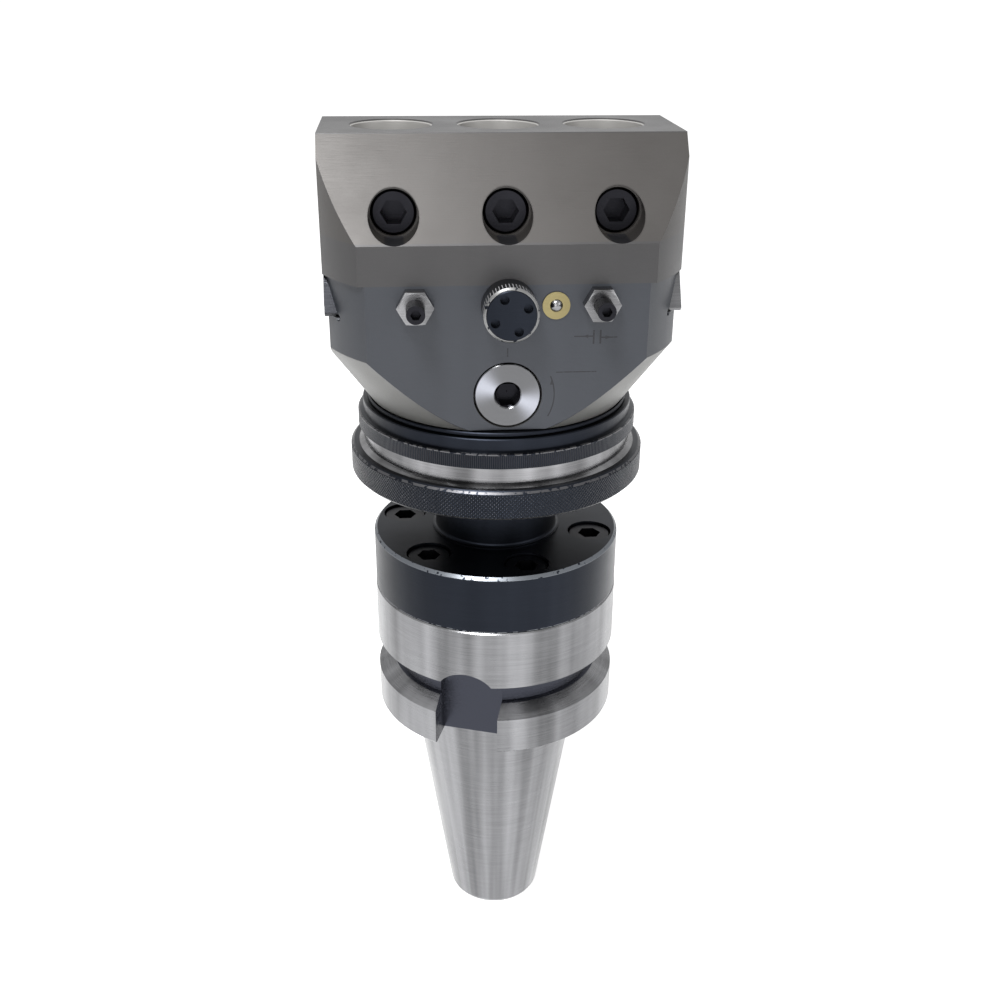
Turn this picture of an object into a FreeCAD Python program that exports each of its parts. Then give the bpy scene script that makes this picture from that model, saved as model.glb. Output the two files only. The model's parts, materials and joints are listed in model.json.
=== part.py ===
import FreeCAD, Part
import math
import os

os.makedirs("parts", exist_ok=True)

# Universal facing and boring head with automatic feed on a 40-size steep-taper shank.
# Millimetres. Z = 0 is the taper's gauge plane, +Z runs up to the tool slide.
# The slide travels along X, and the dial, selector and screws face the front, -Y.

# --- clearances ---
seat_gap = 0.02            # radial, a fixed piece in its seat or thread
running_gap = 0.05         # radial, a shaft in its bore
slide_gap = 0.03           # square to a dovetail flank
face_gap = 0.3             # between faces that pass each other
thrust_gap = 0.1           # between a turning piece and the face that carries it

# --- taper shank ---
gauge_diameter = 44.45
taper_rate = 7 / 24        # change of diameter per length
taper_length = 65.4
shank_end_chamfer = 1.0
flange_diameter = 63.0
flange_setback = 2.0       # gauge plane to flange face
flange_chamfer = 0.5
gripper_groove_centre = 16.6
gripper_groove_diameter = 53.0
gripper_groove_mouth = 9.6
gripper_groove_angle = 60.0
nose_top = 37.0
drive_slot_width = 16.1
drive_slot_floor = 22.6    # slot floor to axis
drive_slot_top = 24.75
drive_slot_turn = 18.4     # from the front towards -X
stud_thread_diameter = 14.0
stud_thread_depth = 34.0
stud_mouth_diameter = 17.0
stud_mouth_depth = 9.0

# --- mounting flange, bolted on the shank's nose ---
adaptor_diameter = 62.8
adaptor_thickness = 15.2
adaptor_chamfer = 0.7
seam_chamfer = 0.3
neck_diameter = 31.0
neck_length = 18.0
neck_fillet = 0.8
neck_collar = 0.3          # straight part under the fillet
pilot_diameter = 36.0
pilot_length = 3.5
stem_diameter = 25.0
stem_length = 5.5
stem_ledge = 3.0           # flange metal between the stem's foot and the draw bolt's head
flange_screw_circle = 49.0
flange_screw_count = 6
flange_screw_turn = -47.0  # first screw, from the front towards +X
flange_screw_diameter = 6.0
flange_screw_length = 20.0
flange_screw_head_diameter = 10.0
flange_screw_head_height = 6.0
flange_screw_socket = 5.0
counterbore_diameter = 11.0
counterbore_depth = 6.6
draw_bolt_diameter = 12.0
draw_bolt_length = 43.5
draw_bolt_head_diameter = 18.0
draw_bolt_head_height = 8.0
draw_bolt_socket = 8.0

# --- head body ---
hub_diameter = 50.8
hub_upper_diameter = 56.0
cone_small_diameter = 62.4
body_diameter = 85.8
body_length = 78.1         # along X, between the end flats
body_depth = 60.0          # along Y, between the front and back flats
cone_height = 16.1
body_land = 16.8           # height of the straight sides above the cone

# --- rings round the hub ---
ring_drop = 0.7            # the feed ring hangs this far below the hub
feed_ring_diameter = 72.5
feed_ring_width = 7.3
feed_ring_chamfer = 0.8
sleeve_diameter = 66.0
sleeve_foot_diameter = 68.4
sleeve_foot_height = 0.8
sleeve_width = 4.2
collar_diameter = 62.0
set_ring_diameter = 67.8
set_ring_width = 6.8
set_ring_step_height = 3.5
set_ring_step_depth = 0.35
lip_width = 0.75
lip_chamfer = 0.2
bush_wall = 3.03
bush_flange_diameter = 60.0
bush_flange_thickness = 0.7
bush_height = 5.7
cover_thickness = 1.2
cover_diameter = 57.2
cover_screw_circle = 41.0
cover_screw_count = 3
cover_screw_diameter = 3.0
cover_screw_head_diameter = 5.4
cover_screw_length = 6.0

# --- gears ---
pressure_angle = 20.0
tooth_thinning = 0.16      # taken off each tooth at the pitch circle
feed_module = 1.0
ring_teeth = 54
pinion_teeth = 12
feed_tooth_width = 4.6
spur_module = 0.75
dial_teeth = 14
transfer_teeth = 40
spur_width = 4.0
bevel_module = 0.75
bevel_teeth = 14
bevel_face = 1.5           # along the gear's axis
bevel_boss_diameter = 8.4
bevel_boss_length = 1.75

# --- feed train, below the slide ---
selector_height_above_cone = 8.1
feed_shaft_diameter = 6.0
feed_bore_diameter = 12.0
gear_seat_diameter = 4.0   # shaft end that carries a bevel gear
pinion_shaft_diameter = 5.0
pinion_bush_diameter = 8.0
spur_front = -13.5         # front face of both spur gears, Y
selector_diameter = 14.6
selector_bore_diameter = 15.3
selector_thickness = 4.0
selector_socket = 5.0
selector_socket_depth = 3.0
selector_socket_rim = 0.25     # countersink outside the socket's corners
selector_edge = 0.2
selector_stem_diameter = 5.0
clutch_diameter = 10.0
clutch_thickness = 2.5
clutch_gap = 0.8           # clutch ring to transfer gear with the feed off
shift_nut_length = 4.7
shift_nut_step = 2.6
shift_key_width = 2.0
shift_key_height = 1.0

# --- dovetail, slide and gib ---
dovetail_angle = 60.0
groove_half_width = 17.4   # at the top of the body
groove_depth = 8.9
relief_radius = 0.8
tail_height = 7.5
tail_chamfer = 0.8
gib_thickness = 3.0        # square to its flank
gib_chamfer = 0.8
slide_length = 80.0
slide_depth = 60.0
slide_height = 29.3
slide_corner_diameter = 87.7
slide_top_depth = 29.0     # width of the flat top between the bevels
slide_band_height = 8.5    # upright front below the bevel
slide_travel = 10.0        # each way from the middle
tool_bore_diameter = 18.0
tool_bore_depth = 26.0         # of the middle bore
tool_bore_depth_step = 0.5     # each bore is deeper than its neighbour towards -X
tool_bore_chamfer = 0.5
tool_bore_spacing = 24.0
clamp_screw_diameter = 10.0
clamp_screw_length = 12.0
clamp_screw_socket = 5.0
clamp_screw_socket_depth = 5.0
clamp_screw_chamfer = 0.6
clamp_screw_point = 1.5        # chamfer at the tip
clamp_screw_drop = 15.4    # below the slide's top
clamp_mouth_diameter = 10.8
clamp_mouth_depth = 21.8   # mouth ends this far in front of the bores

# --- dial, lead screw and their seats ---
dial_above_selector = 20.25
dial_shaft_diameter = 6.0
dial_knob_diameter = 10.75
dial_knob_length = 5.0
dial_knob_chamfer = 0.4
dial_ring_diameter = 12.6
dial_ring_thickness = 1.0
pin_hole_circle = 7.2
pin_hole_count = 4
pin_hole_diameter = 2.0
pin_hole_depth = 2.0
pin_hole_turn = 24.0
lead_screw_diameter = 6.0
lead_screw_end = 38.5
bracket_wide = 6.6
bracket_narrow = 4.5
bracket_half_depth = 6.3
bracket_sink = 2.0         # trench below the groove floor
bracket_top_above_axis = 4.8
bracket_screw_diameter = 2.5
bracket_screw_offset = 4.1
bracket_screw_head_diameter = 4.2
bracket_screw_head_height = 1.6
bracket_screw_length = 14.0
nut_length = 12.0
nut_start = 22.0
nut_half_width = 6.0
nut_above_axis = 5.15
nut_pin_diameter = 2.5
nut_pin_spacing = 6.0

# --- fittings on the front face ---
gib_screw_diameter = 4.0
gib_screw_spacing = 40.0
gib_screw_above_dial = 0.5
gib_screw_reach = 8.0      # in front of the body's face
gib_screw_socket = 2.0
gib_screw_socket_depth = 2.0
lock_nut_across_flats = 7.0
lock_nut_thickness = 3.2
lock_nut_round = 0.35          # height of the rounding at the corners
gib_dimple_floor = -18.6   # Y of the flat that each gib screw presses on
oiler_offset = 10.3
oiler_diameter = 6.0
oiler_length = 5.5
oiler_ball_diameter = 3.0
oiler_mouth_diameter = 2.7
oiler_rim = 0.3
oiler_travel = 0.8
oiler_end_wall = 0.5           # closes the bore behind the spring
oiler_wire_diameter = 0.35

# --- heights and places that follow from the sizes above ---
taper_small_radius = (gauge_diameter - taper_length * taper_rate) / 2
adaptor_top = nose_top + adaptor_thickness
hub_bottom = adaptor_top + neck_length
cover_bottom = hub_bottom - cover_thickness
ring_bottom = hub_bottom - ring_drop
ring_top = ring_bottom + feed_ring_width
sleeve_top = ring_top + sleeve_width
set_ring_bottom = sleeve_top + face_gap
set_ring_top = set_ring_bottom + set_ring_width
lip_bottom = set_ring_top + face_gap
lip_top = lip_bottom + lip_width
hub_shoulder = set_ring_bottom - thrust_gap
cone_bottom = lip_top + face_gap - running_gap
cone_top = cone_bottom + cone_height
body_top = cone_top + body_land
body_front = -body_depth / 2
groove_floor = body_top - groove_depth
flank_run = 1 / math.tan(math.radians(dovetail_angle))
flank_stretch = 1 / math.sin(math.radians(dovetail_angle))
tail_bottom = body_top - tail_height
slide_top = body_top + slide_height
selector_height = cone_bottom + selector_height_above_cone
dial_height = selector_height + dial_above_selector
pinion_offset = feed_module * (ring_teeth - pinion_teeth) / 2
ring_tip_radius = feed_module * (ring_teeth / 2 - 0.6)
ring_root_radius = feed_module * (ring_teeth / 2 + 1.15)
tooth_bottom = hub_bottom + face_gap
tooth_top = tooth_bottom + feed_tooth_width
spur_back = spur_front + spur_width
dial_gear_radius = spur_module * (dial_teeth / 2 + 0.9)
transfer_radius = spur_module * (transfer_teeth / 2 + 0.9)
bevel_pitch_radius = bevel_module * bevel_teeth / 2
bevel_small_end = bevel_pitch_radius - bevel_face
bevel_outer_radius = bevel_pitch_radius + bevel_module * math.sqrt(0.5)
bevel_back = bevel_pitch_radius + bevel_boss_length
clutch_back = spur_front - clutch_gap
clutch_front = clutch_back - clutch_thickness
shift_nut_back = clutch_front - face_gap
shift_nut_front = shift_nut_back - shift_nut_length
bracket_floor = groove_floor - bracket_sink
bracket_top = dial_height + bracket_top_above_axis
left_bracket_end = -bevel_back - face_gap
left_bracket_start = left_bracket_end - bracket_wide
right_bracket_start = bevel_outer_radius + face_gap
right_bracket_end = right_bracket_start + bracket_narrow
cavity_top = dial_height + bevel_outer_radius + face_gap
spur_cavity_top = dial_height + dial_gear_radius + face_gap
spur_cavity_half = dial_gear_radius + slide_travel + face_gap
clamp_height = slide_top - clamp_screw_drop
gib_screw_height = dial_height + gib_screw_above_dial

x_axis = FreeCAD.Vector(1, 0, 0)
y_axis = FreeCAD.Vector(0, 1, 0)
z_axis = FreeCAD.Vector(0, 0, 1)
origin = FreeCAD.Vector(0, 0, 0)


# --- building blocks ---
def point(x, y, z):
    return FreeCAD.Vector(x, y, z)


def box(x0, x1, y0, y1, z0, z1):
    return Part.makeBox(x1 - x0, y1 - y0, z1 - z0, point(x0, y0, z0))


def upright(diameter, bottom, top, x=0.0, y=0.0):
    return Part.makeCylinder(diameter / 2, top - bottom, point(x, y, bottom), z_axis)


def crosswise(diameter, front, back, x, z):
    return Part.makeCylinder(diameter / 2, back - front, point(x, front, z), y_axis)


def lengthwise(diameter, start, end, y, z):
    return Part.makeCylinder(diameter / 2, end - start, point(start, y, z), x_axis)


def turned(outline):
    # a solid turned about Z from (radius, height) corners
    corners = [point(radius, 0, height) for radius, height in outline]
    face = Part.Face(Part.makePolygon(corners + corners[:1]))
    return face.revolve(origin, z_axis, 360)


def turned_crosswise(outline, x, z):
    # the same about an axis along Y, from (radius, y) corners
    shape = turned(outline)
    shape.rotate(origin, x_axis, -90)
    shape.translate(point(x, 0, z))
    return shape


def turned_lengthwise(outline, z):
    # the same about an axis along X, from (radius, x) corners
    shape = turned(outline)
    shape.rotate(origin, y_axis, 90)
    shape.translate(point(0, 0, z))
    return shape


def along_slide(outline, start, end):
    # a bar along X from (y, z) corners
    corners = [point(start, y, z) for y, z in outline]
    face = Part.Face(Part.makePolygon(corners + corners[:1]))
    return face.extrude(point(end - start, 0, 0))


def hexagon(across_flats, height):
    radius = across_flats / math.sqrt(3)
    corners = []
    for index in range(6):
        angle = math.radians(60 * index)
        corners.append(point(radius * math.cos(angle), radius * math.sin(angle), 0))
    face = Part.Face(Part.makePolygon(corners + corners[:1]))
    return face.extrude(point(0, 0, height))


def hexagon_crosswise(across_flats, front, back, x, z):
    shape = hexagon(across_flats, back - front)
    shape.rotate(origin, x_axis, -90)
    shape.translate(point(x, front, z))
    return shape


def around(shape, angle):
    # a copy turned about Z
    copy = shape.copy()
    copy.rotate(origin, z_axis, angle)
    return copy


def flank(height, inset=0.0):
    # distance from the middle to the groove's flank at a height, less an inset square to it
    return groove_half_width + (body_top - height) * flank_run - inset * flank_stretch


def half_tooth(radius, pitch_radius, teeth, thinning):
    # half the angle that an involute tooth takes up at a radius
    base_radius = pitch_radius * math.cos(math.radians(pressure_angle))
    pressure = math.radians(pressure_angle)
    here = math.acos(min(1.0, base_radius / radius))
    roll = (math.tan(pressure) - pressure) - (math.tan(here) - here)
    return math.pi / 2 / teeth - thinning / 2 / pitch_radius + roll


def toothed_face(teeth, module, tip_radius, root_radius, thinning, first_angle):
    pitch_radius = teeth * module / 2
    base_radius = pitch_radius * math.cos(math.radians(pressure_angle))
    radii = sorted({root_radius, max(root_radius, base_radius), pitch_radius, tip_radius})
    corners = []
    for index in range(teeth):
        middle = math.radians(first_angle) + 2 * math.pi * index / teeth
        for side in (-1, 1):
            for radius in radii[::-side]:
                angle = middle + side * half_tooth(radius, pitch_radius, teeth, thinning)
                corners.append(point(radius * math.cos(angle), radius * math.sin(angle), 0))
    return Part.Face(Part.makePolygon(corners + corners[:1]))


def spur_gear(teeth, module, width, first_angle):
    pitch_radius = teeth * module / 2
    face = toothed_face(teeth, module, pitch_radius + 0.9 * module, pitch_radius - 1.1 * module,
                        tooth_thinning, first_angle)
    return face.extrude(point(0, 0, width))


def bevel_gear(first_angle):
    # a 45 degree bevel gear with its cone's tip at the origin, the gear below it
    tip_radius = bevel_pitch_radius + 0.9 * bevel_module * math.sqrt(0.5)
    root_radius = bevel_pitch_radius - 1.2 * bevel_module * math.sqrt(0.5)
    large = toothed_face(bevel_teeth, bevel_module, tip_radius, root_radius,
                         tooth_thinning, first_angle).OuterWire
    small = large.copy()
    small.scale(bevel_small_end / bevel_pitch_radius, origin)
    large.translate(point(0, 0, -bevel_pitch_radius))
    small.translate(point(0, 0, -bevel_small_end))
    teeth = Part.makeLoft([large, small], True, True)
    boss = upright(bevel_boss_diameter, -bevel_back, -bevel_pitch_radius)
    bore = upright(gear_seat_diameter + 2 * seat_gap, -bevel_back - 1, 0)
    return teeth.fuse(boss).cut(bore)


def socket_screw(diameter, length, head_diameter, head_height, socket):
    # a cap screw with the underside of its head at the origin, pointing down
    shaft = upright(diameter, -length, 0)
    head = upright(head_diameter, 0, head_height)
    recess = hexagon(socket, head_height)
    recess.translate(point(0, 0, head_height / 2))
    return shaft.fuse(head).cut(recess)


def group(shapes):
    return Part.makeCompound(shapes)


# --- shank and mounting flange ---
def flange_screw_places():
    places = []
    for index in range(flange_screw_count):
        angle = math.radians(flange_screw_turn + 360 * index / flange_screw_count)
        reach = flange_screw_circle / 2
        places.append((reach * math.sin(angle), -reach * math.cos(angle)))
    return places


def drive_slot():
    half = drive_slot_width / 2
    arch = drive_slot_top - half
    straight = box(-half, half, -flange_diameter, -drive_slot_floor, flange_setback - 1, arch)
    crown = crosswise(drive_slot_width, -flange_diameter, -drive_slot_floor, 0, arch)
    return around(straight.fuse(crown), -drive_slot_turn)


def taper_shank():
    radius = flange_diameter / 2
    root = gripper_groove_diameter / 2
    half_mouth = gripper_groove_mouth / 2
    half_root = half_mouth - (radius - root) * math.tan(math.radians(gripper_groove_angle / 2))
    end_radius = taper_small_radius - shank_end_chamfer * 0.6
    outline = [
        (0, -taper_length),
        (end_radius, -taper_length),
        (taper_small_radius, -taper_length + shank_end_chamfer),
        (gauge_diameter / 2, 0),
        (gauge_diameter / 2, flange_setback),
        (radius - flange_chamfer, flange_setback),
        (radius, flange_setback + flange_chamfer),
        (radius, gripper_groove_centre - half_mouth),
        (root, gripper_groove_centre - half_root),
        (root, gripper_groove_centre + half_root),
        (radius, gripper_groove_centre + half_mouth),
        (radius, nose_top - seam_chamfer),
        (radius - seam_chamfer, nose_top),
        (0, nose_top),
    ]
    shape = turned(outline)
    slot = drive_slot()
    shape = shape.cut(slot).cut(around(slot, 180))
    shape = shape.cut(upright(stud_thread_diameter, -taper_length - 1, -taper_length + stud_thread_depth))
    shape = shape.cut(upright(stud_mouth_diameter, -taper_length - 1, -taper_length + stud_mouth_depth))
    pilot_seat = pilot_diameter + 2 * seat_gap
    shape = shape.cut(upright(pilot_seat, nose_top - pilot_length - face_gap, nose_top + 1))
    bottom = adaptor_top - counterbore_depth - flange_screw_length - face_gap
    for x, y in flange_screw_places():
        thread = upright(flange_screw_diameter + 2 * seat_gap, bottom, nose_top + 1, x, y)
        shape = shape.cut(thread)
    return shape


def draw_bolt_seat():
    return nose_top - pilot_length + draw_bolt_head_height + face_gap


def mounting_flange():
    radius = adaptor_diameter / 2
    outline = [
        (0, nose_top - pilot_length),
        (pilot_diameter / 2, nose_top - pilot_length),
        (pilot_diameter / 2, nose_top),
        (radius - seam_chamfer, nose_top),
        (radius, nose_top + seam_chamfer),
        (radius, adaptor_top - adaptor_chamfer),
        (radius - adaptor_chamfer, adaptor_top),
        (0, adaptor_top),
    ]
    shape = turned(outline)
    for x, y in flange_screw_places():
        clearance = upright(flange_screw_diameter + 2 * face_gap, nose_top - 1, adaptor_top, x, y)
        counterbore = upright(counterbore_diameter, adaptor_top - counterbore_depth, adaptor_top + 1, x, y)
        shape = shape.cut(clearance).cut(counterbore)
    head_room = upright(draw_bolt_head_diameter + 2 * face_gap, nose_top - pilot_length - 1, draw_bolt_seat())
    bolt_room = upright(draw_bolt_diameter + 2 * face_gap, nose_top, adaptor_top + 1)
    stem_seat = upright(stem_diameter + 2 * seat_gap, stem_foot(), adaptor_top + 1)
    return shape.cut(head_room).cut(bolt_room).cut(stem_seat)


def stem_foot():
    return draw_bolt_seat() + stem_ledge


def stem():
    neck = neck_diameter / 2
    seat = stem_diameter / 2
    outline = [
        (0, stem_foot()),
        (seat, stem_foot()),
        (seat, adaptor_top),
        (neck + neck_fillet, adaptor_top),
    ]
    for step in range(4):
        angle = math.radians(30 * step)
        outline.append((neck + neck_fillet * (1 - math.sin(angle)),
                        adaptor_top + neck_collar + neck_fillet * (1 - math.cos(angle))))
    outline += [
        (neck, hub_bottom),
        (seat, hub_bottom),
        (seat, hub_bottom + stem_length),
        (0, hub_bottom + stem_length),
    ]
    bolt_room = upright(draw_bolt_diameter + 2 * face_gap, nose_top, hub_bottom + stem_length + 1)
    return turned(outline).cut(bolt_room)


def flange_screws():
    screws = []
    for x, y in flange_screw_places():
        screw = socket_screw(flange_screw_diameter, flange_screw_length, flange_screw_head_diameter,
                             flange_screw_head_height, flange_screw_socket)
        screw.translate(point(x, y, adaptor_top - counterbore_depth))
        screws.append(screw)
    return group(screws)


def draw_bolt():
    bolt = socket_screw(draw_bolt_diameter, draw_bolt_length, draw_bolt_head_diameter,
                        draw_bolt_head_height, draw_bolt_socket)
    bolt.rotate(origin, x_axis, 180)
    bolt.translate(point(0, 0, draw_bolt_seat()))
    return bolt


# --- head body ---
def cover_screw_places():
    places = []
    for index in range(cover_screw_count):
        angle = math.radians(-90 + 360 * index / cover_screw_count)
        reach = cover_screw_circle / 2
        places.append((reach * math.cos(angle), reach * math.sin(angle)))
    return places


def body_blank():
    outline = [
        (0, hub_bottom),
        (hub_diameter / 2, hub_bottom),
        (hub_diameter / 2, hub_shoulder),
        (hub_upper_diameter / 2, hub_shoulder),
        (hub_upper_diameter / 2, cone_bottom),
        (cone_small_diameter / 2, cone_bottom),
        (body_diameter / 2, cone_top),
        (body_diameter / 2, body_top),
        (0, body_top),
    ]
    half_length = body_length / 2
    half_depth = body_depth / 2
    block = box(-half_length, half_length, -half_depth, half_depth, hub_bottom, body_top)
    return turned(outline).common(block)


def dovetail_groove():
    reach = body_length
    wide = flank(groove_floor)
    outline = [
        (-groove_half_width, body_top + 1),
        (-groove_half_width, body_top),
        (-wide, groove_floor),
        (wide, groove_floor),
        (groove_half_width, body_top),
        (groove_half_width, body_top + 1),
    ]
    groove = along_slide(outline, -reach, reach)
    for side in (-1, 1):
        relief = lengthwise(2 * relief_radius, -reach, reach, side * (wide - relief_radius / 2),
                            groove_floor + relief_radius / 4)
        groove = groove.fuse(relief)
    return groove


def feed_train_room():
    # the bores and pockets that hold the feed train inside the body
    bore = feed_bore_diameter
    pocket = 2 * (feed_module * (pinion_teeth / 2 + 0.9) + face_gap)
    rooms = [
        upright(pocket, hub_bottom - 1, tooth_top + face_gap, 0, pinion_offset),
        upright(pinion_bush_diameter, hub_bottom, selector_height - bevel_back, 0, pinion_offset),
        upright(bore, selector_height - bevel_back - face_gap, selector_height - bevel_small_end + face_gap,
                0, pinion_offset),
        crosswise(bore, body_front, pinion_offset - bevel_small_end + face_gap, 0, selector_height),
        crosswise(selector_bore_diameter, body_front - 1, body_front + selector_thickness + face_gap,
                  0, selector_height),
    ]
    wheel = 2 * (transfer_radius + face_gap)
    front = spur_front - face_gap
    back = spur_back + face_gap
    rooms.append(crosswise(wheel, front, back, 0, selector_height))
    rooms.append(box(-wheel / 2, wheel / 2, front, back, selector_height, groove_floor + 1))
    keyway = shift_key_width / 2 + running_gap
    top = selector_height + bore / 2 + shift_key_height + face_gap
    rooms.append(box(-keyway, keyway, body_front + selector_thickness, spur_front, selector_height, top))
    return rooms


def dial_room():
    # the dial shaft's bore and the trench under the lead screw
    shaft = dial_shaft_diameter + 2 * running_gap
    bore = crosswise(shaft, body_front - 1, body_front / 2, 0, dial_height)
    trench = box(left_bracket_start - face_gap, right_bracket_end + face_gap,
                 -bevel_back - face_gap, bracket_half_depth + face_gap, bracket_floor, groove_floor + 1)
    return [bore, trench]


def bracket_screw_places():
    middles = [(left_bracket_start + left_bracket_end) / 2, (right_bracket_start + right_bracket_end) / 2]
    return [(x, side * bracket_screw_offset) for x in middles for side in (-1, 1)]


def gib_screw_columns():
    return [-gib_screw_spacing / 2, gib_screw_spacing / 2]


def head_body():
    shape = body_blank().cut(dovetail_groove())
    socket = upright(stem_diameter + 2 * seat_gap, hub_bottom - 1, hub_bottom + stem_length + face_gap)
    thread_top = draw_bolt_seat() + draw_bolt_length + face_gap
    thread = upright(draw_bolt_diameter + 2 * seat_gap, hub_bottom, thread_top)
    cuts = [socket, thread] + feed_train_room() + dial_room()
    for x, y in cover_screw_places():
        depth = hub_bottom - cover_thickness + cover_screw_length + face_gap
        cuts.append(upright(cover_screw_diameter + 2 * seat_gap, hub_bottom - 1, depth, x, y))
    for x, y in bracket_screw_places():
        depth = bracket_top - bracket_screw_head_height - bracket_screw_length - face_gap
        cuts.append(upright(bracket_screw_diameter + 2 * seat_gap, depth, groove_floor, x, y))
    for x in gib_screw_columns():
        hole = gib_screw_diameter + 2 * seat_gap
        cuts.append(crosswise(hole, body_front - 1, -groove_half_width, x, gib_screw_height))
    oiler_back = body_front + oiler_length
    cuts.append(crosswise(oiler_diameter + 2 * seat_gap, body_front - 1, oiler_back, oiler_offset, dial_height))
    cuts.append(crosswise(oiler_diameter / 4, body_front, -groove_half_width, oiler_offset, dial_height))
    for piece in cuts:
        shape = shape.cut(piece)
    return shape


def countersunk(gap):
    # a countersunk head below the hub's underside, grown by a gap
    head = cover_screw_head_diameter / 2 + gap
    shaft = cover_screw_diameter / 2 + gap
    outline = [(0, cover_bottom), (head, cover_bottom), (shaft, hub_bottom), (0, hub_bottom)]
    return turned(outline)


def lower_cover():
    shape = upright(cover_diameter, cover_bottom, hub_bottom)
    shape = shape.cut(upright(neck_diameter + 2 * face_gap, cover_bottom - 1, hub_bottom + 1))
    for x, y in cover_screw_places():
        hole = countersunk(seat_gap)
        hole.translate(point(x, y, 0))
        shape = shape.cut(hole)
    return shape


def cover_screws():
    screws = []
    for x, y in cover_screw_places():
        screw = countersunk(0).fuse(upright(cover_screw_diameter, cover_bottom, cover_bottom + cover_screw_length))
        slot = box(-cover_screw_head_diameter, cover_screw_head_diameter, -0.35, 0.35,
                   cover_bottom - 1, cover_bottom + 0.5)
        screw = screw.cut(slot)
        screw.translate(point(x, y, 0))
        screws.append(screw)
    return group(screws)


# --- rings round the hub ---
def feed_ring():
    outer = feed_ring_diameter / 2
    collar = collar_diameter / 2
    collar_top = hub_shoulder - bush_flange_thickness - thrust_gap
    bore = hub_diameter / 2 + seat_gap + bush_wall + running_gap
    outline = [
        (cover_diameter / 2 + face_gap, ring_bottom),
        (outer - feed_ring_chamfer, ring_bottom),
        (outer, ring_bottom + feed_ring_chamfer),
        (outer, ring_top - feed_ring_chamfer),
        (outer - feed_ring_chamfer, ring_top),
        (collar, ring_top),
        (collar, collar_top),
        (bore, collar_top),
        (bore, tooth_top),
        (ring_tip_radius, tooth_top),
        (ring_tip_radius, tooth_bottom),
        (cover_diameter / 2 + face_gap, tooth_bottom),
    ]
    spaces = toothed_face(ring_teeth, feed_module, ring_root_radius, ring_tip_radius - 0.05,
                          -tooth_thinning, 90)
    spaces.translate(point(0, 0, tooth_bottom))
    return turned(outline).cut(spaces.extrude(point(0, 0, feed_tooth_width)))


def feed_ring_sleeve():
    bore = collar_diameter / 2 + seat_gap
    outer = sleeve_diameter / 2
    outline = [
        (bore, ring_top),
        (sleeve_foot_diameter / 2, ring_top),
        (outer, ring_top + sleeve_foot_height),
        (outer, sleeve_top),
        (bore, sleeve_top),
    ]
    return turned(outline)


def ring_bush():
    bore = hub_diameter / 2 + seat_gap
    outer = bore + bush_wall
    flange_bottom = hub_shoulder - bush_flange_thickness
    bottom = hub_shoulder - bush_height
    outline = [
        (bore, bottom),
        (outer, bottom),
        (outer, flange_bottom),
        (bush_flange_diameter / 2, flange_bottom),
        (bush_flange_diameter / 2, hub_shoulder),
        (bore, hub_shoulder),
    ]
    return turned(outline)


def set_ring():
    bore = hub_upper_diameter / 2 + running_gap
    outer = set_ring_diameter / 2
    step = set_ring_bottom + set_ring_step_height
    outline = [
        (bore, set_ring_bottom),
        (outer - lip_chamfer, set_ring_bottom),
        (outer, set_ring_bottom + lip_chamfer),
        (outer, step),
        (outer - set_ring_step_depth, step + set_ring_step_depth),
        (outer - set_ring_step_depth, set_ring_top),
        (bore, set_ring_top),
    ]
    return turned(outline)


def retaining_ring():
    bore = hub_upper_diameter / 2 + seat_gap
    outer = set_ring_diameter / 2
    seat = (hub_upper_diameter + cone_small_diameter) / 4
    outline = [
        (bore, lip_bottom),
        (outer - lip_chamfer, lip_bottom),
        (outer, lip_bottom + lip_chamfer),
        (outer, lip_top - lip_chamfer),
        (outer - lip_chamfer, lip_top),
        (seat, lip_top),
        (seat, cone_bottom),
        (bore, cone_bottom),
    ]
    return turned(outline)


# --- feed train ---
def place_pinion(shape):
    shape.translate(point(0, pinion_offset, 0))
    return shape


def feed_pinion():
    gear = spur_gear(pinion_teeth, feed_module, feed_tooth_width, 90)
    gear.translate(point(0, 0, tooth_bottom))
    bevel_seat = selector_height - bevel_back
    shaft = upright(pinion_shaft_diameter, tooth_bottom, bevel_seat)
    end = upright(gear_seat_diameter, tooth_bottom, selector_height - bevel_small_end)
    return place_pinion(gear.fuse(shaft).fuse(end))


def pinion_bush():
    bottom = tooth_top + face_gap
    top = selector_height - bevel_back - face_gap
    bush = upright(pinion_bush_diameter - 2 * seat_gap, bottom, top)
    return place_pinion(bush.cut(upright(pinion_shaft_diameter + 2 * running_gap, bottom - 1, top + 1)))


def pinion_bevel():
    gear = bevel_gear(-90)
    gear.translate(point(0, 0, selector_height))
    return place_pinion(gear)


def crosswise_bevel(first_angle, apex_y, height):
    # the bevel gear on a shaft along Y, in front of its cone's tip
    gear = bevel_gear(first_angle)
    gear.rotate(origin, x_axis, -90)
    gear.translate(point(0, apex_y, height))
    return gear


def feed_shaft():
    front = shift_nut_back - shift_nut_step / 2
    outline = [
        (0, front),
        (feed_shaft_diameter / 2, front),
        (feed_shaft_diameter / 2, pinion_offset - bevel_back),
        (gear_seat_diameter / 2, pinion_offset - bevel_back),
        (gear_seat_diameter / 2, pinion_offset - bevel_small_end),
        (0, pinion_offset - bevel_small_end),
    ]
    return turned_crosswise(outline, 0, selector_height)


def feed_shaft_bevel():
    return crosswise_bevel(90 + 180 / bevel_teeth, pinion_offset, selector_height)


def feed_shaft_bush():
    front = spur_back + face_gap
    back = pinion_offset - bevel_back - face_gap
    bush = crosswise(feed_bore_diameter - 2 * seat_gap, front, back, 0, selector_height)
    bore = feed_shaft_diameter + 2 * running_gap
    return bush.cut(crosswise(bore, front - 1, back + 1, 0, selector_height))


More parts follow.
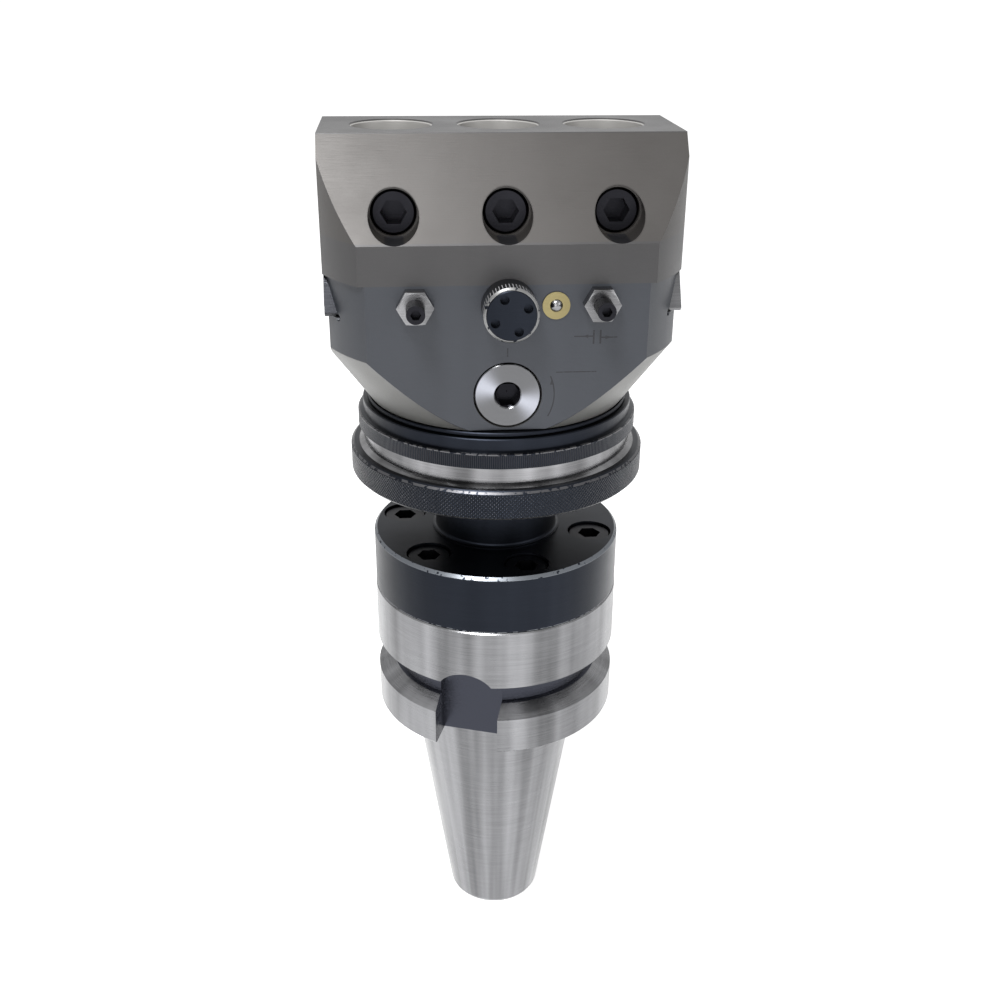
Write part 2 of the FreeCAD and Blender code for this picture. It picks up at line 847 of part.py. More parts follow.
def transfer_gear():
    gear = spur_gear(transfer_teeth, spur_module, spur_width, 90 + 180 / transfer_teeth)
    gear = gear.cut(upright(feed_shaft_diameter + 2 * running_gap, -1, spur_width + 1))
    gear.rotate(origin, x_axis, 90)
    gear.translate(point(0, spur_back, selector_height))
    return gear


def clutch_ring():
    ring = crosswise(clutch_diameter, clutch_front, clutch_back, 0, selector_height)
    bore = feed_shaft_diameter + 2 * running_gap
    return ring.cut(crosswise(bore, clutch_front - 1, clutch_back + 1, 0, selector_height))


def shift_nut():
    diameter = feed_bore_diameter - 2 * running_gap
    nut = crosswise(diameter, shift_nut_front, shift_nut_back, 0, selector_height)
    key = box(-shift_key_width / 2, shift_key_width / 2, shift_nut_front, shift_nut_back,
              selector_height, selector_height + diameter / 2 + shift_key_height)
    nut = nut.fuse(key)
    thread = selector_stem_diameter + 2 * running_gap
    nut = nut.cut(crosswise(thread, shift_nut_front - 1, shift_nut_back + 1, 0, selector_height))
    shaft_room = feed_shaft_diameter + 2 * face_gap
    step = shift_nut_back - shift_nut_step
    return nut.cut(crosswise(shaft_room, step, shift_nut_back + 1, 0, selector_height))


def selector_disc():
    radius = selector_diameter / 2
    back = body_front + selector_thickness
    stem_end = shift_nut_back - shift_nut_step / 2 - face_gap
    outline = [
        (0, body_front),
        (radius - selector_edge, body_front),
        (radius, body_front + selector_edge),
        (radius, back),
        (selector_stem_diameter / 2, back),
        (selector_stem_diameter / 2, stem_end),
        (0, stem_end),
    ]
    shape = turned_crosswise(outline, 0, selector_height)
    rim = selector_socket / math.sqrt(3) + selector_socket_rim
    mouth = turned_crosswise([(0, body_front), (rim, body_front), (0, body_front + rim)], 0, selector_height)
    floor = body_front + selector_socket_depth
    socket = hexagon_crosswise(selector_socket, body_front - 1, floor, 0, selector_height)
    return shape.cut(mouth).cut(socket)


# --- dial and lead screw ---
def dial_shaft():
    front = body_front - dial_ring_thickness - dial_knob_length / 2
    outline = [
        (0, front),
        (dial_shaft_diameter / 2, front),
        (dial_shaft_diameter / 2, -bevel_back),
        (gear_seat_diameter / 2, -bevel_back),
        (gear_seat_diameter / 2, -bevel_small_end),
        (0, -bevel_small_end),
    ]
    return turned_crosswise(outline, 0, dial_height)


def dial_knob():
    back = body_front - thrust_gap - dial_ring_thickness
    front = back - dial_knob_length
    radius = dial_knob_diameter / 2
    outline = [
        (0, front),
        (radius - dial_knob_chamfer, front),
        (radius, front + dial_knob_chamfer),
        (radius, back),
        (0, back),
    ]
    shape = turned_crosswise(outline, 0, dial_height)
    seat_front = body_front - dial_ring_thickness - dial_knob_length / 2
    seat = crosswise(dial_shaft_diameter + 2 * seat_gap, seat_front, back + 1, 0, dial_height)
    shape = shape.cut(seat)
    for index in range(pin_hole_count):
        angle = math.radians(90 + pin_hole_turn + 360 * index / pin_hole_count)
        x = pin_hole_circle / 2 * math.cos(angle)
        z = dial_height + pin_hole_circle / 2 * math.sin(angle)
        shape = shape.cut(crosswise(pin_hole_diameter, front - 1, front + pin_hole_depth, x, z))
    return shape


def dial_ring():
    back = body_front - thrust_gap
    ring = crosswise(dial_ring_diameter, back - dial_ring_thickness, back, 0, dial_height)
    bore = dial_shaft_diameter + 2 * seat_gap
    return ring.cut(crosswise(bore, body_front - dial_ring_thickness - 1, body_front + 1, 0, dial_height))


def dial_gear():
    gear = spur_gear(dial_teeth, spur_module, spur_width, -90)
    gear = gear.cut(upright(dial_shaft_diameter + 2 * seat_gap, -1, spur_width + 1))
    gear.rotate(origin, x_axis, 90)
    gear.translate(point(0, spur_back, dial_height))
    return gear


def dial_bevel():
    return crosswise_bevel(180, 0, dial_height)


def lead_screw():
    journal = gear_seat_diameter / 2
    thread = lead_screw_diameter / 2
    start = left_bracket_start - face_gap
    outline = [
        (0, start),
        (journal, start),
        (journal, right_bracket_end + face_gap),
        (thread, right_bracket_end + face_gap),
        (thread, lead_screw_end - 0.5),
        (thread - 0.5, lead_screw_end),
        (0, lead_screw_end),
    ]
    return turned_lengthwise(outline, dial_height)


def lead_screw_bevel():
    gear = bevel_gear(-90 + 180 / bevel_teeth)
    gear.rotate(origin, y_axis, 90)
    gear.translate(point(0, 0, dial_height))
    return gear


def screw_bracket(start, end):
    shape = box(start, end, -bracket_half_depth, bracket_half_depth, bracket_floor, bracket_top)
    bore = gear_seat_diameter + 2 * running_gap
    shape = shape.cut(lengthwise(bore, start - 1, end + 1, 0, dial_height))
    for x, y in bracket_screw_places():
        if start < x < end:
            hole = upright(bracket_screw_diameter + 2 * seat_gap, bracket_floor - 1, bracket_top, x, y)
            head = upright(bracket_screw_head_diameter + 2 * seat_gap,
                           bracket_top - bracket_screw_head_height, bracket_top + 1, x, y)
            shape = shape.cut(hole).cut(head)
    return shape


def bracket_screws():
    screws = []
    for x, y in bracket_screw_places():
        screw = socket_screw(bracket_screw_diameter, bracket_screw_length, bracket_screw_head_diameter,
                             bracket_screw_head_height, bracket_screw_diameter * 0.6)
        screw.translate(point(x, y, bracket_top - bracket_screw_head_height))
        screws.append(screw)
    return group(screws)


def nut_pin_columns():
    middle = nut_start + nut_length / 2
    return [middle - nut_pin_spacing / 2, middle + nut_pin_spacing / 2]


def lead_nut():
    bottom = groove_floor + face_gap
    shape = box(nut_start, nut_start + nut_length, -nut_half_width, nut_half_width,
                bottom, dial_height + nut_above_axis)
    bore = lead_screw_diameter + 2 * running_gap
    shape = shape.cut(lengthwise(bore, nut_start - 1, nut_start + nut_length + 1, 0, dial_height))
    for x in nut_pin_columns():
        hole = nut_pin_diameter + 2 * seat_gap
        shape = shape.cut(crosswise(hole, nut_half_width - 2, nut_half_width + 1, x, dial_height))
    return shape


def nut_pins():
    end = flank(dial_height) - 1.0
    return group([crosswise(nut_pin_diameter, nut_half_width - 2, end, x, dial_height)
                  for x in nut_pin_columns()])


# --- slide and gib ---
def slide_tail():
    front_inset = gib_thickness + seat_gap + slide_gap
    low = tail_bottom + tail_chamfer
    outline = [
        (-flank(body_top, front_inset), body_top),
        (-flank(low, front_inset), low),
        (-flank(low, front_inset) + tail_chamfer, tail_bottom),
        (flank(low, slide_gap) - tail_chamfer, tail_bottom),
        (flank(low, slide_gap), low),
        (flank(body_top, slide_gap), body_top),
    ]
    return along_slide(outline, -slide_length / 2, slide_length / 2)


def slide_block():
    half_length = slide_length / 2
    half_depth = slide_depth / 2
    half_top = slide_top_depth / 2
    band_top = body_top + slide_band_height
    outline = [
        (-half_depth, body_top),
        (-half_depth, band_top),
        (-half_top, slide_top),
        (half_top, slide_top),
        (half_depth, band_top),
        (half_depth, body_top),
    ]
    bar = along_slide(outline, -half_length, half_length)
    return bar.common(upright(slide_corner_diameter, body_top, slide_top))


def slide_cavities():
    # room for the lead screw, its brackets and gears, cut up into the tail
    below = tail_bottom - 1
    left = left_bracket_start - slide_travel - face_gap - running_gap
    right = right_bracket_end + slide_travel + face_gap + running_gap
    nut_right = nut_start + nut_length
    channel = lead_screw_diameter / 2 + face_gap
    return [
        box(left, right, -bevel_back - face_gap, bracket_half_depth + face_gap, below, cavity_top),
        box(-spur_cavity_half, spur_cavity_half, body_front, -bevel_back, below, spur_cavity_top)
        .common(box(-slide_length, slide_length, -flank(tail_bottom), 0, below, spur_cavity_top)),
        box(right - 1, nut_right, -nut_half_width, nut_half_width, below, dial_height + nut_above_axis),
        lengthwise(2 * channel, nut_right - 1, slide_length, 0, dial_height),
        box(nut_right - 1, slide_length, -channel, channel, below, dial_height),
    ]


def tool_bore(x):
    radius = tool_bore_diameter / 2
    depth = tool_bore_depth + tool_bore_depth_step * x / tool_bore_spacing
    bore = upright(tool_bore_diameter, slide_top - depth, slide_top + 1, x)
    wide = radius + tool_bore_chamfer
    outline = [(0, slide_top), (wide, slide_top), (radius, slide_top - tool_bore_chamfer),
               (0, slide_top - tool_bore_chamfer)]
    mouth = turned(outline)
    mouth.translate(point(x, 0, 0))
    return bore.fuse(mouth)


def clamp_hole(x):
    thread = crosswise(clamp_screw_diameter, body_front, 0, x, clamp_height)
    mouth = crosswise(clamp_mouth_diameter, body_front - 1, -clamp_mouth_depth, x, clamp_height)
    return thread.fuse(mouth)


def tool_slide():
    shape = slide_block().fuse(slide_tail())
    for piece in slide_cavities():
        shape = shape.cut(piece)
    for x in (-tool_bore_spacing, 0, tool_bore_spacing):
        shape = shape.cut(tool_bore(x)).cut(clamp_hole(x))
    for x in nut_pin_columns():
        hole = nut_pin_diameter + 2 * seat_gap
        shape = shape.cut(crosswise(hole, nut_half_width - 1, flank(dial_height) + 1, x, dial_height))
    return shape.removeSplitter()


def gib():
    top = body_top - face_gap
    bottom = groove_floor + face_gap
    low = bottom + gib_chamfer
    inner = gib_thickness + seat_gap
    outline = [
        (-flank(top, seat_gap), top),
        (-flank(low, seat_gap), low),
        (-flank(low, seat_gap) + gib_chamfer, bottom),
        (-flank(bottom, inner), bottom),
        (-flank(top, inner), top),
    ]
    half = slide_length / 2 - face_gap
    shape = along_slide(outline, -half, half)
    shape = shape.cut(crosswise(dial_shaft_diameter + 2 * face_gap, body_front, 0, 0, dial_height))
    for x in gib_screw_columns():
        dimple = crosswise(gib_screw_diameter + 2 * face_gap, body_front, gib_dimple_floor, x, gib_screw_height)
        shape = shape.cut(dimple)
    return shape


def clamp_screw(x):
    tip = -tool_bore_diameter / 2 - face_gap
    front = tip - clamp_screw_length
    radius = clamp_screw_diameter / 2 - running_gap
    outline = [
        (0, front),
        (radius - clamp_screw_chamfer, front),
        (radius, front + clamp_screw_chamfer),
        (radius, tip - clamp_screw_point),
        (radius - clamp_screw_point, tip),
        (0, tip),
    ]
    shape = turned_crosswise(outline, x, clamp_height)
    floor = front + clamp_screw_socket_depth
    return shape.cut(hexagon_crosswise(clamp_screw_socket, front - 1, floor, x, clamp_height))


# --- fittings on the front face ---
def gib_screws():
    screws = []
    front = body_front - gib_screw_reach
    floor = front + gib_screw_socket_depth
    for x in gib_screw_columns():
        screw = crosswise(gib_screw_diameter, front, gib_dimple_floor, x, gib_screw_height)
        socket = hexagon_crosswise(gib_screw_socket, front - 1, floor, x, gib_screw_height)
        screws.append(screw.cut(socket))
    return group(screws)


def gib_lock_nuts():
    nuts = []
    front = body_front - lock_nut_thickness
    reach = lock_nut_across_flats / math.sqrt(3)
    outline = [
        (0, front),
        (reach - lock_nut_round * 2, front),
        (reach, front + lock_nut_round),
        (reach, body_front),
        (0, body_front),
    ]
    for x in gib_screw_columns():
        nut = hexagon_crosswise(lock_nut_across_flats, front, body_front, x, gib_screw_height)
        nut = nut.common(turned_crosswise(outline, x, gib_screw_height))
        hole = gib_screw_diameter + 2 * seat_gap
        nuts.append(nut.cut(crosswise(hole, front - 1, body_front + 1, x, gib_screw_height)))
    return group(nuts)


def oiler_seat():
    # Y of the ball's centre, where it closes the mouth from behind
    ball = oiler_ball_diameter / 2
    mouth = oiler_mouth_diameter / 2
    return body_front - oiler_rim + math.sqrt(ball ** 2 - mouth ** 2) + running_gap


def oiler_body():
    front = body_front - oiler_rim
    back = body_front + oiler_length
    shape = crosswise(oiler_diameter, front, back, oiler_offset, dial_height)
    mouth = crosswise(oiler_mouth_diameter, front - 1, back, oiler_offset, dial_height)
    room = oiler_ball_diameter + 2 * running_gap
    bore = crosswise(room, oiler_seat(), back - oiler_end_wall, oiler_offset, dial_height)
    seat = Part.makeSphere(room / 2, point(oiler_offset, oiler_seat(), dial_height))
    return shape.cut(bore).cut(seat).cut(mouth.cut(box(-50, 50, oiler_seat(), 50, 0, 200)))


def oiler_ball():
    return Part.makeSphere(oiler_ball_diameter / 2, point(oiler_offset, oiler_seat(), dial_height))


def oiler_spring():
    # plain rings stand for the turns of the coil spring behind the ball
    inner = oiler_ball_diameter / 2 - 1.5 * oiler_wire_diameter
    outer = inner + oiler_wire_diameter
    touch = oiler_ball_diameter / 2 + running_gap
    first = oiler_seat() + math.sqrt(touch ** 2 - inner ** 2)
    last = body_front + oiler_length - oiler_end_wall - 2 * oiler_wire_diameter - oiler_travel
    turns = []
    for index in range(3):
        y = first + (last - first) * index / 2
        outline = [(inner, y), (outer, y), (outer, y + oiler_wire_diameter), (inner, y + oiler_wire_diameter)]
        turns.append(turned_crosswise(outline, oiler_offset, dial_height))
    return group(turns)


parts = {
    "taper_shank": taper_shank(),
    "mounting_flange": mounting_flange(),
    "stem": stem(),
    "flange_screws": flange_screws(),
    "draw_bolt": draw_bolt(),
    "head_body": head_body(),
    "lower_cover": lower_cover(),
    "cover_screws": cover_screws(),
    "feed_ring": feed_ring(),
    "feed_ring_sleeve": feed_ring_sleeve(),
    "ring_bush": ring_bush(),
    "set_ring": set_ring(),
    "retaining_ring": retaining_ring(),
    "feed_pinion": feed_pinion(),
    "pinion_bush": pinion_bush(),
    "pinion_bevel": pinion_bevel(),
    "feed_shaft": feed_shaft(),
    "feed_shaft_bevel": feed_shaft_bevel(),
    "feed_shaft_bush": feed_shaft_bush(),
    "transfer_gear": transfer_gear(),
    "clutch_ring": clutch_ring(),
    "shift_nut": shift_nut(),
    "selector_disc": selector_disc(),
    "dial_shaft": dial_shaft(),
    "dial_knob": dial_knob(),
    "dial_ring": dial_ring(),
    "dial_gear": dial_gear(),
    "dial_bevel": dial_bevel(),
    "lead_screw": lead_screw(),
    "lead_screw_bevel": lead_screw_bevel(),
    "screw_bracket_left": screw_bracket(left_bracket_start, left_bracket_end),
    "screw_bracket_right": screw_bracket(right_bracket_start, right_bracket_end),
    "bracket_screws": bracket_screws(),
    "lead_nut": lead_nut(),
    "nut_pins": nut_pins(),
    "tool_slide": tool_slide(),
    "gib": gib(),
    "clamp_screw_left": clamp_screw(-tool_bore_spacing),
    "clamp_screw_centre": clamp_screw(0),
    "clamp_screw_right": clamp_screw(tool_bore_spacing),
    "gib_screws": gib_screws(),
    "gib_lock_nuts": gib_lock_nuts(),
    "oiler_body": oiler_body(),
    "oiler_ball": oiler_ball(),
    "oiler_spring": oiler_spring(),
}

for name, shape in parts.items():
    shape.exportStep("parts/" + name + ".step")
    print(name, len(shape.Solids), round(shape.Volume, 1), shape.isValid())
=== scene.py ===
import json
import math
import bpy
from mathutils import Matrix, Vector


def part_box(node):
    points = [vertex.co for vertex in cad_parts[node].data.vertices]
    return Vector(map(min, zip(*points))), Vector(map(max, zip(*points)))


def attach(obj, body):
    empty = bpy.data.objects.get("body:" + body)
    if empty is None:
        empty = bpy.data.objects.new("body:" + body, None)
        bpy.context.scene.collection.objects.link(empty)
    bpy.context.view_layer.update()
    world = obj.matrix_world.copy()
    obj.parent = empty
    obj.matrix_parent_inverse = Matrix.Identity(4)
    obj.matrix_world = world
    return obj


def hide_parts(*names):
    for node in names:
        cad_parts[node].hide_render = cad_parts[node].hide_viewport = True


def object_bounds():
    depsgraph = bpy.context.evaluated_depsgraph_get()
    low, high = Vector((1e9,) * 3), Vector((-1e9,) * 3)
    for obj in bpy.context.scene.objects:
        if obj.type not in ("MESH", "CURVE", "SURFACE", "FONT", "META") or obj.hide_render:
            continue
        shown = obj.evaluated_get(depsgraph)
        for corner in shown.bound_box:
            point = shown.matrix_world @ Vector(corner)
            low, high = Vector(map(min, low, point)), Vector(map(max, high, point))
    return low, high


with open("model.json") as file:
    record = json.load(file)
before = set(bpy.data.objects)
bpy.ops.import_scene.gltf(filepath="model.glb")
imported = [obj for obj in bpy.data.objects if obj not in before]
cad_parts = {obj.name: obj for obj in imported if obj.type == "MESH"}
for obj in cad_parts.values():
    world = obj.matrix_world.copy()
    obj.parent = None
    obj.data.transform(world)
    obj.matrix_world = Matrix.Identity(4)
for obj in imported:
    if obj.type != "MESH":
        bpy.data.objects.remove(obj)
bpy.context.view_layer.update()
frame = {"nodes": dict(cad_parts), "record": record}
record = frame["record"]
scene = bpy.context.scene
scene.view_settings.view_transform = "Standard"


def layCamera():
    shot = {
        "place": (-0.0230, -0.2752, 0.1855),
        "pitch": -24.74,      # degrees below level
        "heading": 5.0,       # degrees from straight behind, to the right
        "roll": 0.41,
        "lens": 42.37,
    }
    eye = bpy.data.cameras.new("shopCamera")
    eye.lens = shot["lens"]
    eye.sensor_width = 36
    eye.clip_start = 0.01
    eye.clip_end = 60
    holder = bpy.data.objects.new("shopCamera", eye)
    scene.collection.objects.link(holder)
    turn = Matrix.Rotation(math.radians(-shot["heading"]), 4, "Z")
    tip = Matrix.Rotation(math.radians(90 + shot["pitch"]), 4, "X")
    roll = Matrix.Rotation(math.radians(shot["roll"]), 4, "Z")
    holder.matrix_world = Matrix.Translation(shot["place"]) @ turn @ tip @ roll
    scene.camera = holder


layCamera()
print("camera set")


class Wire:
    def __init__(self, coat, socket):
        self.coat = coat
        self.socket = socket

    def __add__(self, other):
        return self.coat.maths("ADD", self, other)

    def __radd__(self, other):
        return self.coat.maths("ADD", other, self)

    def __sub__(self, other):
        return self.coat.maths("SUBTRACT", self, other)

    def __rsub__(self, other):
        return self.coat.maths("SUBTRACT", other, self)

    def __mul__(self, other):
        return self.coat.maths("MULTIPLY", self, other)

    def __rmul__(self, other):
        return self.coat.maths("MULTIPLY", other, self)

    def __truediv__(self, other):
        return self.coat.maths("DIVIDE", self, other)

    def __rtruediv__(self, other):
        return self.coat.maths("DIVIDE", other, self)

    def __gt__(self, other):
        return self.coat.maths("GREATER_THAN", self, other)

    def __lt__(self, other):
        return self.coat.maths("LESS_THAN", self, other)

    def __abs__(self):
        return self.coat.maths("ABSOLUTE", self)


class Coat:
    def __init__(self, tree, skin):
        self.tree = tree
        self.skin = tree.nodes[skin]

    def put(self, socket, value):
        if isinstance(value, Wire):
            self.tree.links.new(value.socket, socket)
        else:
            socket.default_value = value

    def feed(self, name, value):
        self.put(self.skin.inputs[name], value)

    def node(self, kind, settings, feeds, output=0):
        made = self.tree.nodes.new("ShaderNode" + kind)
        for key, value in settings.items():
            setattr(made, key, value)
        for key, value in feeds.items():
            self.put(made.inputs[key], value)
        return Wire(self, made.outputs[output])

    def maths(self, kind, *values):
        return self.node("Math", {"operation": kind}, dict(enumerate(values)))

    def place(self):
        return self.node("TexCoord", {}, {}, "Object")

    def split(self, vector):
        cut = self.node("SeparateXYZ", {}, {"Vector": vector}).socket.node
        return [Wire(self, cut.outputs[axis]) for axis in "XYZ"]

    def join(self, x, y, z):
        return self.node("CombineXYZ", {}, {"X": x, "Y": y, "Z": z})

    def stretch(self, vector, factors):
        return self.node("VectorMath", {"operation": "MULTIPLY"}, {0: vector, 1: factors})

    def noise(self, vector, scale, detail=3.0, rough=0.5):
        feeds = {"Vector": vector, "Scale": scale, "Detail": detail, "Roughness": rough}
        return self.node("TexNoise", {}, feeds, "Fac")

    def fit(self, value, low, high, newLow=0.0, newHigh=1.0):
        feeds = {"Value": value, "From Min": low, "From Max": high, "To Min": newLow, "To Max": newHigh}
        return self.node("MapRange", {"clamp": True}, feeds)

    def smooth(self, value, low, high):
        feeds = {"Value": value, "From Min": low, "From Max": high}
        return self.node("MapRange", {"clamp": True, "interpolation_type": "SMOOTHSTEP"}, feeds)

    def blend(self, amount, first, second):
        return self.node("Mix", {"data_type": "RGBA"}, {0: amount, 6: first, 7: second}, 2)

    def lowest(self, first, second):
        return self.maths("MINIMUM", first, second)

    def highest(self, first, second):
        return self.maths("MAXIMUM", first, second)

    def reach(self, x, y):
        return self.maths("SQRT", x * x + y * y)

    def turn(self, x, y):
        return self.maths("ARCTAN2", y, x)

    def ridge(self, turns):
        return abs(self.maths("FRACT", turns) - 0.5) * 2.0

    def relief(self, height):
        return self.node("Bump", {}, {"Height": height, "Distance": 1.0, "Strength": 1.0})

    def straightRays(self):
        path = self.node("LightPath", {}, {}).socket.node
        camera, glossy, clear = [Wire(self, path.outputs["Is " + kind + " Ray"])
                                 for kind in ("Camera", "Glossy", "Transmission")]
        return self.lowest(camera + glossy + clear, 1.0)


def newMaterial(name):
    material = bpy.data.materials.new(name)
    material.use_nodes = True
    return material, Coat(material.node_tree, "Principled BSDF")


def shade(red, green, blue):
    return (red, green, blue, 1)


def gray(value):
    return shade(value, value, value)


def within(value, low, high):
    return (value > low) * (value < high)


def middleOf(node):
    low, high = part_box(node)
    return (low + high) / 2


dialHeight = middleOf("dial_knob").z
selectorHeight = middleOf("selector_disc").z
clampHeight = middleOf("clamp_screw_centre").z
clampRow = [middleOf("clamp_screw_" + side).x for side in ("left", "centre", "right")]
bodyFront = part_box("head_body")[0].y
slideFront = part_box("tool_slide")[0].y
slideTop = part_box("tool_slide")[1].z


def metalCoat(name, finish, details=None):
    grain = {"cloud": 60.0, "reflectionShare": 0.75, "lineShare": 0.25, "low": 0.32, "high": 0.68,
             "smoother": -0.04, "rougher": 0.05, "lineRough": 0.1, "deep": 0.00002, "least": 0.001}
    material, coat = newMaterial(name)
    spot = coat.place()
    x, y, z = coat.split(spot)
    axis = coat.highest(coat.reach(x, y), grain["least"])
    lines = coat.noise(coat.stretch(spot, finish["grain"]), finish["fine"], 4.0, 0.7)
    cloud = coat.noise(spot, grain["cloud"])
    # painted reflection: noise by angle round the axis paints vertical bands, standing in for reflected
    # streaks
    reflectionStreak = coat.noise(coat.join(x / axis, y / axis, z * 2.0), finish["reflectionStreak"], 2.0)
    # base colour runs between a darker and a lighter copy of the finish, led by the painted reflection
    # bands and the grain lines
    dark = shade(*[part * (1 - finish["contrast"]) for part in finish["color"]])
    light = shade(*[part * (1 + finish["contrast"]) for part in finish["color"]])
    mixed = reflectionStreak * grain["reflectionShare"] + lines * grain["lineShare"]
    look = {
        "color": coat.blend(coat.fit(mixed, grain["low"], grain["high"]), dark, light),
        "rough": coat.fit(cloud, 0.3, 0.7, grain["smoother"], grain["rougher"])
                 + lines * grain["lineRough"] + finish["rough"],
        "height": lines * grain["deep"],
        "metal": finish["metal"],
    }
    if details:
        details(coat, (x, y, z), look)
    coat.feed("Base Color", look["color"])
    coat.feed("Metallic", look["metal"])
    coat.feed("Roughness", look["rough"])
    coat.feed("Normal", coat.relief(look["height"]))
    return material


def paintOver(coat, look, mask, color):
    look["color"] = coat.blend(mask, look["color"], shade(*color))


def wearEdge(coat, spot, look, mask, color, least=0.42):
    wear = {"scale": 900.0, "soft": 0.06}
    flecks = coat.noise(coat.join(*spot), wear["scale"], 2.0)
    paintOver(coat, look, mask * coat.fit(flecks, least, least + wear["soft"]), color)


def flangeMarks(coat, spot, look):
    flange = {"rim": 0.0307, "rimHeight": 0.0514, "seamLow": 0.0368, "seamHigh": 0.0375}
    x, y, z = spot
    edge = (coat.reach(x, y) > flange["rim"]) * (z > flange["rimHeight"])
    wearEdge(coat, spot, look, edge, (0.13, 0.14, 0.155), 0.33)
    seam = within(z, flange["seamLow"], flange["seamHigh"])
    wearEdge(coat, spot, look, seam, (0.10, 0.105, 0.115))


def shankMarks(coat, spot, look):
    shank = {"grooveLow": 0.0142, "grooveHigh": 0.0190, "groove": 0.0275,
             "slotLow": 0.0021, "slotHigh": 0.0255, "slot": 0.0262}
    x, y, z = spot
    axis = coat.reach(x, y)
    groove = within(z, shank["grooveLow"], shank["grooveHigh"]) * (axis < shank["groove"])
    slots = within(z, shank["slotLow"], shank["slotHigh"]) * (axis < shank["slot"])
    paintOver(coat, look, coat.highest(groove, slots), (0.035, 0.037, 0.047))


def knurlMarks(coat, spot, look):
    knurl = {"count": 240, "pitch": 0.00095, "deep": 0.0003, "low": 0.0703, "high": 0.0760,
             "skin": 0.0358, "edge": 0.0357, "margin": 0.0001, "fleck": 700.0}
    x, y, z = spot
    axis = coat.reach(x, y)
    around = coat.turn(x, y) * (knurl["count"] / (2 * math.pi))
    up = z / knurl["pitch"]
    crest = coat.ridge(around + up) * coat.ridge(around - up)
    band = within(z, knurl["low"], knurl["high"]) * (axis > knurl["skin"])
    look["height"] = look["height"] + crest * band * knurl["deep"]
    flecks = coat.noise(coat.join(x, y, z), knurl["fleck"]) * 0.9
    paintOver(coat, look, coat.smooth(crest + flecks, 1.12, 1.4) * band, (0.075, 0.075, 0.08))
    middle = within(z, knurl["low"] - knurl["margin"], knurl["high"] + knurl["margin"])
    wearEdge(coat, spot, look, (axis > knurl["edge"]) * (1.0 - middle), (0.08, 0.08, 0.085))


def serrationMarks(coat, spot, look):
    teeth = {"count": 446, "deep": 0.00018, "low": 0.0815, "high": 0.0847,
             "foot": 0.0813, "shoulder": 0.0851}
    x, y, z = spot
    band = within(z, teeth["low"], teeth["high"])
    crest = coat.ridge(coat.turn(x, y) * (teeth["count"] / (2 * math.pi)))
    look["height"] = look["height"] + crest * band * teeth["deep"]
    paintOver(coat, look, coat.smooth(crest, 0.7, 1.0) * band, (0.05, 0.05, 0.055))
    edge = within(z, teeth["high"], teeth["shoulder"]) + within(z, teeth["foot"], teeth["low"])
    wearEdge(coat, spot, look, edge, (0.10, 0.10, 0.105))


def bodyMarks(coat, spot, look):
    body = {"coneTop": 0.1056, "flat": 0.02985, "skin": 0.0001}
    lines = [        # left, right, low and high
        (-0.00025, 0.00005, 0.1064, 0.1084),
        (0.0144, 0.0186, 0.1106, 0.1109),
        (0.0202, 0.0239, 0.1103, 0.1106),
        (0.0185, 0.0189, 0.1090, 0.1121),
        (0.0200, 0.0204, 0.1090, 0.1121),
        (0.0106, 0.0196, 0.10255, 0.1028),
    ]
    arc = {"inner": 0.0102, "outer": 0.0105, "low": 0.0924, "high": 0.1018}
    heads = {"slope": 0.35, "leftTip": 0.0163, "leftEnd": 0.0175, "leftHeight": 0.11075,
             "rightTip": 0.0226, "rightEnd": 0.0213, "rightHeight": 0.11045,
             "arcSlope": 0.3, "arcTip": 0.1014, "arcEnd": 0.0998, "arcPlace": 0.0098}
    x, y, z = spot
    cone = (z < body["coneTop"]) * within(y, -body["flat"], body["flat"])
    paintOver(coat, look, cone, (0.12, 0.12, 0.115))
    away = coat.reach(x, z - selectorHeight)
    ink = within(away, arc["inner"], arc["outer"]) * within(z, arc["low"], arc["high"]) * (x > 0)
    for left, right, low, high in lines:
        ink = ink + within(x, left, right) * within(z, low, high)
    leftHead = abs(z - heads["leftHeight"]) < (x - heads["leftTip"]) * heads["slope"]
    rightHead = abs(z - heads["rightHeight"]) < (heads["rightTip"] - x) * heads["slope"]
    arcHead = abs(x - heads["arcPlace"]) < (heads["arcTip"] - z) * heads["arcSlope"]
    ink = ink + leftHead * (x < heads["leftEnd"]) + rightHead * (x > heads["rightEnd"])
    ink = ink + arcHead * (z > heads["arcEnd"])
    face = y < bodyFront + body["skin"]
    worn = coat.fit(coat.noise(coat.join(x, y, z), 1500.0, 2.0), 0.3, 0.45, 0.35, 0.9)
    paintOver(coat, look, coat.lowest(ink, 1.0) * face * worn, (0.012, 0.012, 0.015))


def slideMarks(coat, spot, look):
    slide = {"bore": 0.0092, "boreFloor": 0.124, "top": slideTop - 0.0002, "hole": 0.0056,
             "holeBack": -0.0091, "holeFront": slideFront + 0.0003, "bevelFoot": 0.1312}
    x, y, z = spot
    for centre in clampRow:
        bore = (coat.reach(x - centre, y) < slide["bore"]) * within(z, slide["boreFloor"], slide["top"])
        paintOver(coat, look, bore, (0.75, 0.74, 0.72))
        # painted shade: the clamp holes' walls are painted near black
        hole = coat.reach(x - centre, z - clampHeight) < slide["hole"]
        hole = hole * within(y, slide["holeFront"], slide["holeBack"])
        paintOver(coat, look, hole, (0.012, 0.012, 0.014))
    bevel = within(z, slide["bevelFoot"], slide["top"])
    paintOver(coat, look, bevel * 0.55, (0.046, 0.041, 0.036))


